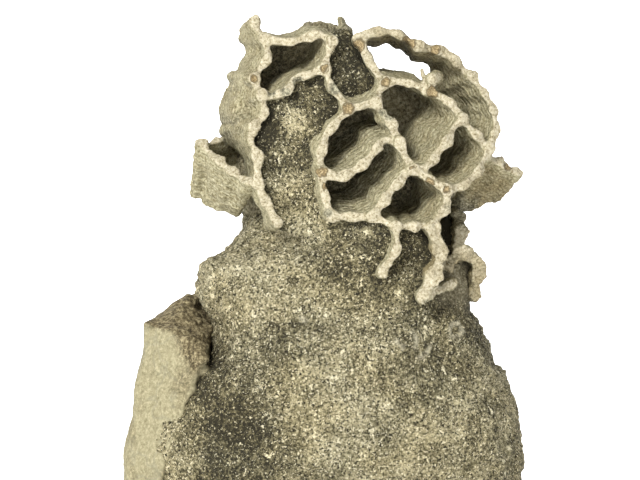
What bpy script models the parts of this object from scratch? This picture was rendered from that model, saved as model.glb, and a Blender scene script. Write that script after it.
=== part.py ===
"""Fossil coral head: a chain coral (Halysites type) weathered half free of its limestone.

Walls of linked tubes, one tube wide, wind over a lump of grey limestone and meet at junctions.
Between them lie round openings: some are weathered out to deep pockets, one of them right
through, and some are still full of rock. A paler block at the lower left is freshly broken.

Frame: metres, +Z up, the weathered face looks along -Y, and the origin is on the flat base.
Tables are in millimetres, in the order x, y, z.
"""
import bmesh
import bpy
from math import cos, pi, sin
from mathutils import Vector, noise

MM = 0.001

# Driving dimensions, mm
TUBE_PITCH = 3.3          # from one tube of the chain to the next
TUBE_WIDTH = 2.05         # across a wall at the middle of a tube
PINCH_WIDTH = 1.3         # across a wall where two tubes join
JUNCTION_WIDTH = 2.5      # across the tube where three walls meet
FREE_END_WIDTH = 1.7      # across the last tube of a wall that ends free
RIM_WAVE = 0.35           # how far the weathered rim rises at each tube
JUNCTION_RISE = 0.5       # how far a junction's tube stands in front of the rim line
JUNCTION_OVERRUN = 0.2    # and how far it runs past the roots
CLEARANCE = 0.3           # left between the walls and the rock that holds them
FILL_BACK = -2.0          # y to which the rock in a filled opening runs back
FILL_LEAN = (-1.5, 9, 1)  # from front to back of a filled opening where it has no wall
BASE_BOX = (90, 70, 20)   # cutter that leaves the base flat at z = 0
ROCK_RELIEF = 0.9         # height of the rock's gentle lumps
RELIEF_SCALE = 9.0        # their breadth
ROCK_SEGMENTS = 24        # points round each section of the rock
ROCK_ROUNDNESS = 2.5      # 2 is an ellipse, more is boxier
JUNCTION_SIDES = 7
STATIONS_PER_TUBE = 3

# Junctions and free ends: where the rim is, and where the same point roots in the rock
JUNCTIONS = {
    "peak": ((-10.5, -10.5, 75), (-12, -1, 74)),
    "crown_nw": ((-9, -12.5, 72), (-12, -2, 72.5)),
    "crown_w": ((-10.5, -14, 66), (-14, -3, 66.5)),
    "crown_sw": ((-9.5, -14.5, 63.5), (-15.5, -3, 61.5)),
    "crown_ne": ((1, -14, 71.5), (-1, -3, 73)),
    "crown_se": ((0, -14.5, 67.5), (-2.5, -4, 68.5)),
    "cap_nw": ((5, -11.5, 72), (4.5, -1, 71)),
    "cap_sw": ((3.5, -15.5, 61.5), (0.5, -4, 64)),
    "cap_se": ((9, -13.5, 65.5), (6, -2, 67)),
    "ear_ne": ((7.5, -15, 62.5), (4, -4, 65.5)),
    "ear_se": ((11, -16.5, 56.5), (7, -4, 60)),
    "ear_sw": ((-0.5, -16.5, 52), (-4, -4, 55)),
    "slot_e": ((13, -17, 52.5), (8.5, -4, 56)),
    "slot_se": ((7, -17.5, 45.5), (3, -5, 49)),
    "slot_sw": ((1, -17, 45.5), (-2.5, -5, 48.5)),
    "lap_ne": ((10.5, -17.5, 44), (7, -6, 47)),
    "cave_se": ((16, -16, 44), (12, -5, 46.5)),
    "cave_ne": ((18, -16, 49.5), (13.5, -4, 52.5)),
    "big_e": ((20.5, -14, 60), (15, -3, 63)),
    "arch_top": ((14, -10.5, 71), (14, 3, 70)),
    "arch_shoulder": ((22, -9, 66.5), (17, 1, 65)),
    "flank_n": ((24.5, -11.5, 55.5), (18, -2, 58)),
    "flange_root": ((24, -11, 55), (19, -1, 46)),
    "flange_tip": ((29, -7, 52), (25.5, -2, 48)),
    "flange_heel": ((20, -4.5, 46), (19, 0, 46)),
    "cup_tip": ((-18.5, -7, 56.5), (-19.5, 1, 49)),
    "cup_heel": ((-11, -13, 50.5), (-13.5, -3, 46)),
    "tall_w": ((-10.5, -14, 59), (-15, -3, 58.5)),
    "cup_ne": ((-10, -14, 54.5), (-11.5, -2, 55)),
    "cup_se": ((-10, -13.5, 50.5), (-11.5, -3, 50.5)),
    "cup_back": ((-13, 1, 57), (-12.5, 3, 52)),
    "tall_foot": ((-7, -15, 44.5), (-8.5, -7, 44)),
    "lap_foot": ((8.5, -17.5, 37), (7.5, -10, 37)),
    "knob": ((14.5, -18, 33.5), (14, -10, 34)),
    "lobe_n": ((18, -12, 38), (17, -4, 38)),
    "lobe_s": ((22.5, -8, 33.5), (20, -1, 34)),
    "stub_s": ((20, -10, 40.5), (18, -1, 40)),
    "stub_n": ((20.5, -8.5, 43.5), (18.5, -1, 43)),
    "bulge": ((19, -13, 35.5), (18, -6, 36)),
}

# Walls: from one junction, by way of rim points (x, z), to another
WALLS = {
    "peak": ("peak", [(-10, 73.5)], "crown_nw"),
    "crown_left": ("crown_nw", [(-8.5, 69.5)], "crown_w"),
    "crown_bend": ("crown_w", [], "crown_sw"),
    "crown_top": ("crown_nw", [(-5, 71.5), (-1, 72.5)], "crown_ne"),
    "crown_right": ("crown_ne", [], "crown_se"),
    "crown_floor": ("crown_se", [(-4, 66), (-6, 64)], "crown_sw"),
    "tall_left": ("crown_sw", [(-9, 61)], "tall_w"),
    "tall_bend": ("tall_w", [(-11, 57)], "cup_ne"),
    "cup_side": ("cup_ne", [], "cup_se"),
    "tall_left_low": ("cup_se", [(-9, 48)], "tall_foot"),
    "cap_left": ("crown_se", [(1, 65)], "cap_sw"),
    "tall_right": ("cap_sw", [(1, 58.5), (-0.5, 55)], "ear_sw"),
    "slot_left": ("ear_sw", [(0, 48.5)], "slot_sw"),
    "cap_floor": ("cap_sw", [], "ear_ne"),
    "cap_big": ("ear_ne", [], "cap_se"),
    "cap_right": ("cap_se", [(7, 68)], "cap_nw"),
    "big_top": ("cap_se", [(12, 65.5), (15, 64.5), (18.5, 62.5)], "big_e"),
    "ear_right": ("ear_ne", [(9.5, 60)], "ear_se"),
    "slot_right": ("ear_se", [], "slot_e"),
    "ear_floor": ("ear_se", [(8.5, 56.5), (6, 53.5), (2.5, 51.5)], "ear_sw"),
    "cave_left": ("slot_e", [(10, 49.5)], "slot_se"),
    "slot_floor": ("slot_se", [], "slot_sw"),
    "lap_top": ("slot_se", [], "lap_ne"),
    "cave_floor": ("lap_ne", [], "cave_se"),
    "cave_right": ("cave_se", [(18, 47)], "cave_ne"),
    "cave_top": ("slot_e", [], "cave_ne"),
    "big_floor": ("slot_e", [(15.5, 53), (18.5, 57.5)], "big_e"),
    "ribbed_top": ("big_e", [], "flank_n"),
    "ribbed_right": ("flank_n", [(23, 52.5), (20.5, 50)], "cave_ne"),
    "arch_left": ("cap_nw", [(7, 73), (10, 73)], "arch_top"),
    "arch_crown": ("arch_top", [(18, 70)], "arch_shoulder"),
    "arch_right": ("arch_shoulder", [(25, 62), (25.5, 58.5)], "flank_n"),
    "flange": ("flange_root", [], "flange_tip"),
    "cup_front": ("cup_tip", [(-15.5, 53.5)], "cup_heel"),
    "cup_back": ("cup_tip", [(-15.5, 57)], "cup_back"),
    "lap_right": ("lap_ne", [(10.5, 40.5)], "lap_foot"),
    "foot_right": ("cave_se", [(17, 40), (16, 36.5)], "knob"),
    "lobe": ("lobe_n", [(20.5, 40), (23, 38)], "lobe_s"),
    "stub": ("stub_s", [], "stub_n"),
    "stub_top": ("stub_n", [], "flange_heel"),
    "bulge": ("knob", [], "bulge"),
}

# Openings still full of rock: how far behind the rim the rock lies, then the walls round it in
# turn, "-" where one is followed backwards, and points on the rock's own edge without a wall
FILLS = {
    "tall": (1.8, ["crown_floor", "tall_left", "tall_bend", "cup_side", "tall_left_low",
                   (-7, -14.5, 43), (-1, -15, 41.5), "-slot_left", "-tall_right", "-cap_left"]),
    "cap": (2.4, ["-crown_right", (2, -12.5, 73), (4, -11.5, 73), "-cap_right", "-cap_big",
                  "-cap_floor", "-cap_left"]),
    "lap": (1.2, ["-slot_floor", "lap_top", "lap_right", (6, -15, 34), (-1, -15, 35),
                  (-2, -15, 41)]),
    "foot": (2.2, ["cave_floor", "foot_right", (12, -15, 33), "-lap_right"]),
    "niche": (1.5, ["lobe", (19, -10, 32), (16, -13, 34), (16.5, -13, 37)]),
    "shoulder": (1.0, ["stub", (18.5, -6, 46), (17.5, -8, 44), (18, -10, 40.5)]),
}

# Sections of the rock, from below the base upwards: z, left x, right x, front y, back y
ROCK_SECTIONS = [
    (-3, -28, 28, -16, 16), (3, -28.5, 29, -16.5, 16.5), (8.5, -28, 30, -17, 17),
    (13, -27, 29.5, -17.5, 16.5), (18, -24.5, 28.5, -17.5, 16), (22, -21, 27, -17.5, 15.5),
    (23.5, -18.5, 25, -17.5, 15), (27, -17, 24.5, -17, 14.5), (30, -17.5, 23.5, -17, 14.5),
    (31.5, -18.5, 22, -16.5, 14), (34, -19.5, 22.5, -16.5, 14), (38.5, -19, 22.5, -15.5, 13.5),
    (40, -16, 21.5, -15, 13), (41.5, -14.5, 20, -13.5, 13), (43.5, -13, 20, -11, 13),
    (46.5, -13, 20, -7, 12.5), (50, -13.5, 20, -5.5, 12.5), (54, -13.5, 20.5, -5, 12),
    (58, -14, 20, -5, 11.5), (61, -14.5, 18.5, -5, 11), (64, -13.5, 15.5, -5, 10.5),
    (66, -12.5, 11.5, -5, 9.5), (67.5, -12, 7.5, -5, 9.5), (71, -10, 5, -4.5, 8),
    (73.5, -4, 4, -3.5, 6.5), (75, -2.5, 0.5, -1.5, 4),
]

# Corners of the freshly broken block
BLOCK_CORNERS = [
    (-20.5, 1, 34), (-26, 0, 30.5), (-27, -6, 29.5), (-23, -10, 28.5), (-18, -13.5, 25.5),
    (-28, -5, 22), (-30, -4, 12), (-30, 2, 9.5), (-22, -12, 15.5), (-26, -9.5, 8.5),
    (-31, -6, -3), (-27, -10, -3), (-26, 11, -3), (-28.5, 9, 12), (-25, 7, 28),
    (-16, 8, 32), (-14, 10, -3),
]

CORAL_COLOUR = (0.52, 0.46, 0.31, 1.0)
CORAL_ROUGHNESS = 0.85
ROCK_COLOUR = (0.31, 0.28, 0.18, 1.0)
ROCK_ROUGHNESS = 0.9


def clear_scene():
    for old in list(bpy.data.objects):
        bpy.data.objects.remove(old, do_unlink=True)


def new_collection(name):
    collection = bpy.data.collections.new(name)
    bpy.context.scene.collection.children.link(collection)
    return collection


def new_material(name, colour, roughness):
    material = bpy.data.materials.new(name)
    material.use_nodes = True
    shader = material.node_tree.nodes["Principled BSDF"]
    shader.inputs["Base Color"].default_value = colour
    shader.inputs["Roughness"].default_value = roughness
    shader.inputs["Metallic"].default_value = 0.0
    return material


def object_from(bm, name, collection):
    """An object from a bmesh in millimetres, its faces all triangles that point outwards."""
    bm.normal_update()
    bmesh.ops.triangulate(bm, faces=bm.faces)
    bmesh.ops.recalc_face_normals(bm, faces=bm.faces)
    bmesh.ops.scale(bm, vec=(MM, MM, MM), verts=bm.verts)
    mesh = bpy.data.meshes.new(name)
    bm.to_mesh(mesh)
    bm.free()
    obj = bpy.data.objects.new(name, mesh)
    collection.objects.link(obj)
    return obj


def loft(rings):
    """A closed skin over rings that have the same number of points."""
    bm = bmesh.new()
    rows = [[bm.verts.new(point) for point in ring] for ring in rings]
    count = len(rows[0])
    for low, high in zip(rows, rows[1:]):
        for i in range(count):
            j = (i + 1) % count
            bm.faces.new((low[i], low[j], high[j], high[i]))
    bm.faces.new(rows[0][::-1])
    bm.faces.new(rows[-1])
    return bm


def curve_through(points, steps=8):
    """Points of a Catmull-Rom curve through the given points."""
    ends = [points[0] * 2 - points[1]] + points + [points[-1] * 2 - points[-2]]
    line = []
    for a, b, c, d in zip(ends, ends[1:], ends[2:], ends[3:]):
        for i in range(steps):
            t = i / steps
            line.append(0.5 * (2 * b + (c - a) * t + (2 * a - 5 * b + 4 * c - d) * t * t
                               + (3 * b - a - 3 * c + d) * t ** 3))
    return line + [points[-1]]


def evenly_spaced(line, count):
    """The same line as count + 1 points at equal distances along it."""
    lengths = [(b - a).length for a, b in zip(line, line[1:])]
    spacing = sum(lengths) / count
    result, walked, i = [line[0]], 0.0, 0
    for k in range(1, count):
        while walked + lengths[i] < k * spacing:
            walked += lengths[i]
            i += 1
        result.append(line[i].lerp(line[i + 1], (k * spacing - walked) / lengths[i]))
    return result + [line[-1]]


def wall_lines(name):
    """The rim line and the root line of a wall, a point for each station."""
    start, via, end = WALLS[name]
    rim_a, root_a = (Vector(p) for p in JUNCTIONS[start])
    rim_b, root_b = (Vector(p) for p in JUNCTIONS[end])
    flat = [Vector((rim_a.x, 0, rim_a.z))] + [Vector((x, 0, z)) for x, z in via]
    flat.append(Vector((rim_b.x, 0, rim_b.z)))
    line = curve_through(flat)
    length = sum((b - a).length for a, b in zip(line, line[1:]))
    tubes = max(1, round(length / TUBE_PITCH))
    count = tubes * STATIONS_PER_TUBE
    rim, root = [], []
    for i, point in enumerate(evenly_spaced(line, count)):
        t = i / count
        point.y = rim_a.y + (rim_b.y - rim_a.y) * t
        rim.append(point)
        root.append(point + (root_a - rim_a).lerp(root_b - rim_b, t))
    return rim, root


def tube_phase(station):
    """1 at the middle of a tube of the chain, 0 at the pinch between two tubes."""
    return 0.5 + 0.5 * cos(2 * pi * station / STATIONS_PER_TUBE)


def wall_bmesh(name, grow):
    """One wall: a chain of tubes in plan, drawn out from the rim to the root."""
    rim, root = wall_lines(name)
    rings = []
    for i, (front, back) in enumerate(zip(rim, root)):
        ahead, behind = rim[min(i + 1, len(rim) - 1)], rim[max(i - 1, 0)]
        along = (back - front).normalized()
        across = (ahead - behind).cross(along).normalized()
        phase = tube_phase(i)
        half = 0.5 * (PINCH_WIDTH + (TUBE_WIDTH - PINCH_WIDTH) * phase) + grow
        front = front - along * (RIM_WAVE * phase + grow)
        back = back + along * grow
        rings.append([front - across * half, front + across * half,
                      back + across * half, back - across * half])
    return loft(rings)


def junction_bmesh(name, grow):
    """The tube at a junction or a free end, round and a little proud of the walls."""
    front, back = (Vector(p) for p in JUNCTIONS[name])
    along = (back - front).normalized()
    front = front - along * (JUNCTION_RISE + grow)
    back = back + along * (JUNCTION_OVERRUN + grow)
    meeting = sum(name in (start, end) for start, via, end in WALLS.values())
    radius = 0.5 * (JUNCTION_WIDTH if meeting > 1 else FREE_END_WIDTH) + grow
    turn = Vector((0, 1, 0)).rotation_difference(along)
    corners = [2 * pi * (i + 0.5) / JUNCTION_SIDES for i in range(JUNCTION_SIDES)]
    rings = [[centre + turn @ (radius * Vector((cos(a), 0, sin(a)))) for a in corners]
             for centre in (front, back)]
    return loft(rings)


def union_of(name, collection, helpers, pieces):
    """One solid from many: the first piece with all the others joined to it."""
    first = object_from(pieces[0], name, collection)
    others = new_collection(name + "_pieces")
    for i, bm in enumerate(pieces[1:]):
        hide(object_from(bm, f"{name}_piece_{i}", others))
    helpers.append(others)
    boolean(first, "UNION", collection_operand=others)
    return first


def boolean(target, operation, cutter=None, collection_operand=None, solver="EXACT"):
    modifier = target.modifiers.new(operation.lower(), "BOOLEAN")
    modifier.operation = operation
    modifier.solver = solver
    if cutter is not None:
        modifier.object = cutter
    else:
        modifier.operand_type = "COLLECTION"
        modifier.collection = collection_operand


def hide(obj):
    """Marks a cutter or a helper, which isn't a piece of the object."""
    obj.hide_render = True
    obj.display_type = "WIRE"


def baked(obj, name, collection):
    """The object as its modifiers leave it, made a plain mesh; the original is removed."""
    graph = bpy.context.evaluated_depsgraph_get()
    mesh = bpy.data.meshes.new_from_object(obj.evaluated_get(graph))
    result = bpy.data.objects.new(name, mesh)
    collection.objects.link(result)
    bpy.data.objects.remove(obj, do_unlink=True)
    return result


def remove_collections(helpers):
    for collection in helpers:
        for obj in list(collection.objects):
            bpy.data.objects.remove(obj, do_unlink=True)
        bpy.data.collections.remove(collection)


def coral_network(name, collection, grow):
    """All walls and junctions joined in one solid, grown by a clearance where it is a cutter."""
    helpers = []
    pieces = [wall_bmesh(wall, grow) for wall in WALLS]
    pieces += [junction_bmesh(junction, grow) for junction in JUNCTIONS]
    network = baked(union_of(name + "_parts", collection, helpers, pieces), name, collection)
    remove_collections(helpers)
    return network


def rock_bmesh():
    """The limestone lump: rounded sections with gentle lumps."""
    rings = []
    for z, left, right, front, back in ROCK_SECTIONS:
        ring = []
        for i in range(ROCK_SEGMENTS):
            angle = 2 * pi * i / ROCK_SEGMENTS
            reach = [abs(v) ** (2 / ROCK_ROUNDNESS) * (1 if v > 0 else -1)
                     for v in (cos(angle), sin(angle))]
            point = Vector(((left + right) / 2 + (right - left) / 2 * reach[0],
                            (front + back) / 2 + (back - front) / 2 * reach[1], z))
            outward = Vector((reach[0], reach[1], 0)).normalized()
            ring.append(point + outward * ROCK_RELIEF * noise.noise(point / RELIEF_SCALE))
        rings.append(ring)
    return loft(rings)


def block_bmesh():
    """The broken block: flat fresh faces between its corners."""
    bm = bmesh.new()
    for corner in BLOCK_CORNERS:
        bm.verts.new(corner)
    hull = bmesh.ops.convex_hull(bm, input=bm.verts)
    bmesh.ops.delete(bm, geom=hull["geom_interior"], context="VERTS")
    return bm


def fill_outline(drop, entries):
    """Front and back outlines of the rock in an opening, along the middle of its walls."""
    front, back = [], []
    for entry in entries:
        if isinstance(entry, tuple):
            rim, root = [Vector(entry)], [Vector(entry) + Vector(FILL_LEAN)]
        else:
            rim, root = wall_lines(entry.lstrip("-"))
            rim, root = rim[::STATIONS_PER_TUBE], root[::STATIONS_PER_TUBE]
            if entry.startswith("-"):
                rim, root = rim[::-1], root[::-1]
            rim, root = rim[:-1], root[:-1]
        for a, b in zip(rim, root):
            along = (b - a).normalized()
            front.append(a + along * drop)
            back.append(a.lerp(b, (FILL_BACK - a.y) / (b.y - a.y)))
    return front, back


def build_matrix(collection, cutters):
    rock = object_from(rock_bmesh(), "rock", collection)
    joined = new_collection("rock_pieces")
    hide(object_from(block_bmesh(), "broken_block", joined))
    for name, (drop, entries) in FILLS.items():
        hide(object_from(loft(fill_outline(drop, entries)), "fill_" + name, joined))
    boolean(rock, "UNION", collection_operand=joined)
    walls = coral_network("walls_with_clearance", cutters, CLEARANCE)
    hide(walls)
    # The exact solver leaves open edges in this cut; both meshes are closed
    boolean(rock, "DIFFERENCE", cutter=walls, solver="MANIFOLD")
    below = bmesh.new()
    bmesh.ops.create_cube(below, size=1)
    bmesh.ops.scale(below, vec=BASE_BOX, verts=below.verts)
    bmesh.ops.translate(below, vec=(0, 0, -BASE_BOX[2] / 2), verts=below.verts)
    ground = object_from(below, "below_base", cutters)
    hide(ground)
    boolean(rock, "DIFFERENCE", cutter=ground)
    matrix = baked(rock, "limestone_matrix", collection)
    remove_collections([joined])
    return matrix


def main():
    clear_scene()
    parts = new_collection("fossil_coral_head")
    cutters = new_collection("cutters")
    coral = coral_network("coral_walls", parts, 0.0)
    coral.data.materials.clear()
    coral.data.materials.append(new_material("coral_calcite", CORAL_COLOUR, CORAL_ROUGHNESS))
    matrix = build_matrix(parts, cutters)
    matrix.data.materials.clear()
    matrix.data.materials.append(new_material("limestone", ROCK_COLOUR, ROCK_ROUGHNESS))
    for obj in (coral, matrix):
        print(obj.name, len(obj.data.polygons))


main()
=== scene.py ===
from math import acos, atan2, cos, pi, sin

import bmesh
import bpy
import numpy as np
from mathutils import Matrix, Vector, noise
from mathutils.kdtree import KDTree


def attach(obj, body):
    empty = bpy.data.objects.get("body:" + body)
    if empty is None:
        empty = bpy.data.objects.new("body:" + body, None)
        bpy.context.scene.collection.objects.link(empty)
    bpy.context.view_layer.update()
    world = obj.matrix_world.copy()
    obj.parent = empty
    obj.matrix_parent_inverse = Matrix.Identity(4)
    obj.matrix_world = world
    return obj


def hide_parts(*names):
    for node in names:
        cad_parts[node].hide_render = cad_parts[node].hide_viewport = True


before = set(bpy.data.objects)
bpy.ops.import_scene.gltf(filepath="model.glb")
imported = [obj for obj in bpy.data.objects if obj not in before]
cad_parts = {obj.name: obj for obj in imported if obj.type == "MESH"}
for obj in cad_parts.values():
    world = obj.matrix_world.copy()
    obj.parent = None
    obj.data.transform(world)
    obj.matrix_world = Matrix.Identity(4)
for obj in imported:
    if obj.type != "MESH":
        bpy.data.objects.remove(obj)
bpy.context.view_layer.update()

# ---------------------------------------------------------------------------------------------
# Coral walls. The skeleton of a chain coral: tubes of calcite side by side, in walls that wind
# and meet at junctions. Weathering has freed them from the rock to a depth of about a
# centimetre, and left their rims cream and their deeper faces stained. Sizes are in mm.
MM = 0.001
TUBE_PITCH = 3.3              # from the middle of one tube to the next
TUBE_WIDTH = 1.65             # across a wall at the middle of a tube
PINCH_WIDTH = 1.0             # across a wall where two tubes join
JUNCTION_WIDTH = 2.05         # across the tube where walls meet
FREE_END_WIDTH = 1.5          # across the last tube of a wall that ends free
ROOT_THINNING = 0.4           # share of a tube's swelling that is lost at its root
RIM_WAVE = 0.45               # how far a tube's rim stands above the pinches beside it
JUNCTION_RISE = 0.4           # how far a junction stands above the rims
SWAY = 0.9                    # how far a wall strays to the side behind its rim
SWAY_BREADTH = 4.5
SWAY_ONSET = 4                # how fast the straying sets in behind the rim
WALL_STATION = 0.4            # between two columns of a wall's grid
DEPTH_STEPS = 24              # rows of the grid, from rim to root
ROW_CROWDING = 1.3            # above 1, the rows lie closer together near the rim
CORAL_VOXEL = 0.27            # grain of the skin that is drawn over all the walls
CORAL_SMOOTHING = 1
CORAL_FACES_KEPT = 0.62
ROUND_SIDES = 16              # sides of a tube
ROUND_RINGS = 9               # rings of a domed tube's ends
BLANK_LENGTH = 0.1            # of a tube's blank, whose two ends are then moved to their places

# Unevenness, as layers of noise: how high each layer is, and how broad
WIDTH_LAYERS = [(0.6, 2.1)]
RIM_LAYERS = [(0.5, 1.9), (0.3, 0.8)]
WALL_LAYERS = [(0.18, 1.3), (0.12, 0.55)]

# Junctions and free ends: where the rim is, and where the same point roots in the rock
JUNCTIONS = {
    "peak": ((-10.5, -10.5, 75), (-12, -1, 74)),
    "crown_nw": ((-9, -12.5, 72), (-12, -2, 72.5)),
    "crown_w": ((-10.5, -14, 66), (-14, -3, 66.5)),
    "crown_sw": ((-9.5, -14.5, 63.5), (-15.5, -3, 61.5)),
    "crown_ne": ((1, -14, 71.5), (-1, -3, 73)),
    "crown_se": ((0, -14.5, 67.5), (-2.5, -4, 68.5)),
    "cap_nw": ((5, -11.5, 72), (4.5, -1, 71)),
    "cap_sw": ((3.5, -15.5, 61.5), (0.5, -4, 64)),
    "cap_se": ((9, -13.5, 65.5), (6, -2, 67)),
    "ear_ne": ((7.5, -15, 62.5), (4, -4, 65.5)),
    "ear_se": ((11, -16.5, 56.5), (7, -4, 60)),
    "ear_sw": ((-0.5, -16.5, 52), (-4, -4, 55)),
    "slot_e": ((13, -17, 52.5), (8.5, -4, 56)),
    "slot_se": ((7, -17.5, 45.5), (3, -5, 49)),
    "slot_sw": ((1, -17, 45.5), (-2.5, -5, 48.5)),
    "lap_ne": ((10.5, -17.5, 44), (7, -6, 47)),
    "cave_se": ((16, -16, 44), (12, -5, 46.5)),
    "cave_ne": ((18, -16, 49.5), (13.5, -4, 52.5)),
    "big_e": ((20.5, -14, 60), (15, -3, 63)),
    "arch_top": ((14, -10.5, 71), (14, 3, 70)),
    "arch_shoulder": ((22, -9, 66.5), (17, 1, 65)),
    "flank_n": ((24.5, -11.5, 55.5), (18, -2, 58)),
    "flange_root": ((24, -11, 55), (19, -1, 46)),
    "flange_tip": ((29, -7, 52), (25.5, -2, 48)),
    "flange_heel": ((20, -4.5, 46), (19, 0, 46)),
    "cup_tip": ((-18.5, -7, 56.5), (-19.5, 1, 49)),
    "cup_heel": ((-11, -13, 50.5), (-13.5, -3, 46)),
    "tall_w": ((-10.5, -14, 59), (-15, -3, 58.5)),
    "cup_ne": ((-10, -14, 54.5), (-11.5, -2, 55)),
    "cup_se": ((-10, -13.5, 50.5), (-11.5, -3, 50.5)),
    "cup_back": ((-13, 1, 57), (-12.5, 3, 52)),
    "tall_foot": ((-7, -15, 44.5), (-8.5, -7, 44)),
    "lap_foot": ((8.5, -17.5, 37), (7.5, -10, 37)),
    "knob": ((14.5, -18, 33.5), (14, -10, 34)),
    "lobe_n": ((18, -12, 38), (17, -4, 38)),
    "lobe_s": ((22.5, -8, 33.5), (20, -1, 34)),
    "stub_s": ((20, -10, 40.5), (18, -1, 40)),
    "stub_n": ((20.5, -8.5, 43.5), (18.5, -1, 43)),
    "bulge": ((19, -13, 35.5), (18, -6, 36)),
}

# Walls: from one junction, by way of rim points (x, z), to another
WALLS = {
    "peak": ("peak", [(-10, 73.5)], "crown_nw"),
    "crown_left": ("crown_nw", [(-8.5, 69.5)], "crown_w"),
    "crown_bend": ("crown_w", [], "crown_sw"),
    "crown_top": ("crown_nw", [(-5, 71.5), (-1, 72.5)], "crown_ne"),
    "crown_right": ("crown_ne", [], "crown_se"),
    "crown_floor": ("crown_se", [(-4, 66), (-6, 64)], "crown_sw"),
    "tall_left": ("crown_sw", [(-9, 61)], "tall_w"),
    "tall_bend": ("tall_w", [(-11, 57)], "cup_ne"),
    "cup_side": ("cup_ne", [], "cup_se"),
    "tall_left_low": ("cup_se", [(-9, 48)], "tall_foot"),
    "cap_left": ("crown_se", [(1, 65)], "cap_sw"),
    "tall_right": ("cap_sw", [(1, 58.5), (-0.5, 55)], "ear_sw"),
    "slot_left": ("ear_sw", [(0, 48.5)], "slot_sw"),
    "cap_floor": ("cap_sw", [], "ear_ne"),
    "cap_big": ("ear_ne", [], "cap_se"),
    "cap_right": ("cap_se", [(7, 68)], "cap_nw"),
    "big_top": ("cap_se", [(12, 65.5), (15, 64.5), (18.5, 62.5)], "big_e"),
    "ear_right": ("ear_ne", [(9.5, 60)], "ear_se"),
    "slot_right": ("ear_se", [], "slot_e"),
    "ear_floor": ("ear_se", [(8.5, 56.5), (6, 53.5), (2.5, 51.5)], "ear_sw"),
    "cave_left": ("slot_e", [(10, 49.5)], "slot_se"),
    "slot_floor": ("slot_se", [], "slot_sw"),
    "lap_top": ("slot_se", [], "lap_ne"),
    "cave_floor": ("lap_ne", [], "cave_se"),
    "cave_right": ("cave_se", [(18, 47)], "cave_ne"),
    "cave_top": ("slot_e", [], "cave_ne"),
    "big_floor": ("slot_e", [(15.5, 53), (18.5, 57.5)], "big_e"),
    "ribbed_top": ("big_e", [], "flank_n"),
    "ribbed_right": ("flank_n", [(23, 52.5), (20.5, 50)], "cave_ne"),
    "arch_left": ("cap_nw", [(7, 73), (10, 73)], "arch_top"),
    "arch_crown": ("arch_top", [(18, 70)], "arch_shoulder"),
    "arch_right": ("arch_shoulder", [(25, 62), (25.5, 58.5)], "flank_n"),
    "flange": ("flange_root", [], "flange_tip"),
    "cup_front": ("cup_tip", [(-15.5, 53.5)], "cup_heel"),
    "cup_back": ("cup_tip", [(-15.5, 57)], "cup_back"),
    "lap_right": ("lap_ne", [(10.5, 40.5)], "lap_foot"),
    "foot_right": ("cave_se", [(17, 40), (16, 36.5)], "knob"),
    "lobe": ("lobe_n", [(20.5, 40), (23, 38)], "lobe_s"),
    "stub": ("stub_s", [], "stub_n"),
    "stub_top": ("stub_n", [], "flange_heel"),
    "bulge": ("knob", [], "bulge"),
}

# Walls that weathering has left thicker, and by what factor
THICKER = {"foot_right": 1.6, "lobe": 1.3, "stub": 1.3, "stub_top": 1.5, "flange": 1.3}

# Broken spikes and swellings: domed tubes from one point to the other, and their widths
DOMES = [
    ((-11.8, -9, 61.5), (-13.2, -3, 61), 5.6),          # the wall swells at the left
    ((3.2, -8, 71), (2.8, -6.5, 73.2), 2.6),            # foot of the spike behind the crown
    ((2.8, -7, 72), (2.5, -6.5, 75), 1.2),              # the spike itself
    ((15.9, -14.2, 66), (16.8, -11.5, 66.4), 2.0),      # pale knob on the arch's lower wall
    ((14.9, -13.2, 65.3), (14.4, -13.4, 67.4), 0.6),    # spine of calcite beside the knob
]

# Tubes whose mouths show, filled with rusty calcite: x, z of the rim, and the mouth's radius
RUSTY_MOUTHS = [
    (0, 67.5, 0.7), (3.5, 61.5, 0.9), (9, 65.5, 0.75), (5, 71, 1), (12.5, 71.5, 1),
    (16.5, 70.5, 0.8), (16, 64, 0.9), (-0.5, 52, 0.8), (15.5, 50.5, 0.7), (13, 52.5, 0.5),
    (-10.5, 66, 0.6), (27.5, 53, 0.6), (0, 50, 0.5), (18, 49.5, 0.5),
]
# Tubes whose mouths are still full of grey rock
GREY_MOUTHS = [
    (1.5, 64.5, 1), (-4, 65.5, 0.9), (-6, 64, 0.8), (9.5, 60.5, 0.8), (-8, 64, 0.7), (0.5, 46, 0.7),
    (15, 33, 0.5), (8.5, 61, 0.6),
]
MOUTH_DEPTH = 1.2             # how far below the rim a mouth can show
MOUTH_HOLLOW = 0.3            # how deep its middle lies
MOUTH_LAYERS = [(0.35, 0.5)]  # how uneven its edge is, as a share of the radius
MOUTH_REACH = 1.15            # where its colour ends, as a share of the radius
MOUTH_FADE = 2.5              # how sharply it ends

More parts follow.
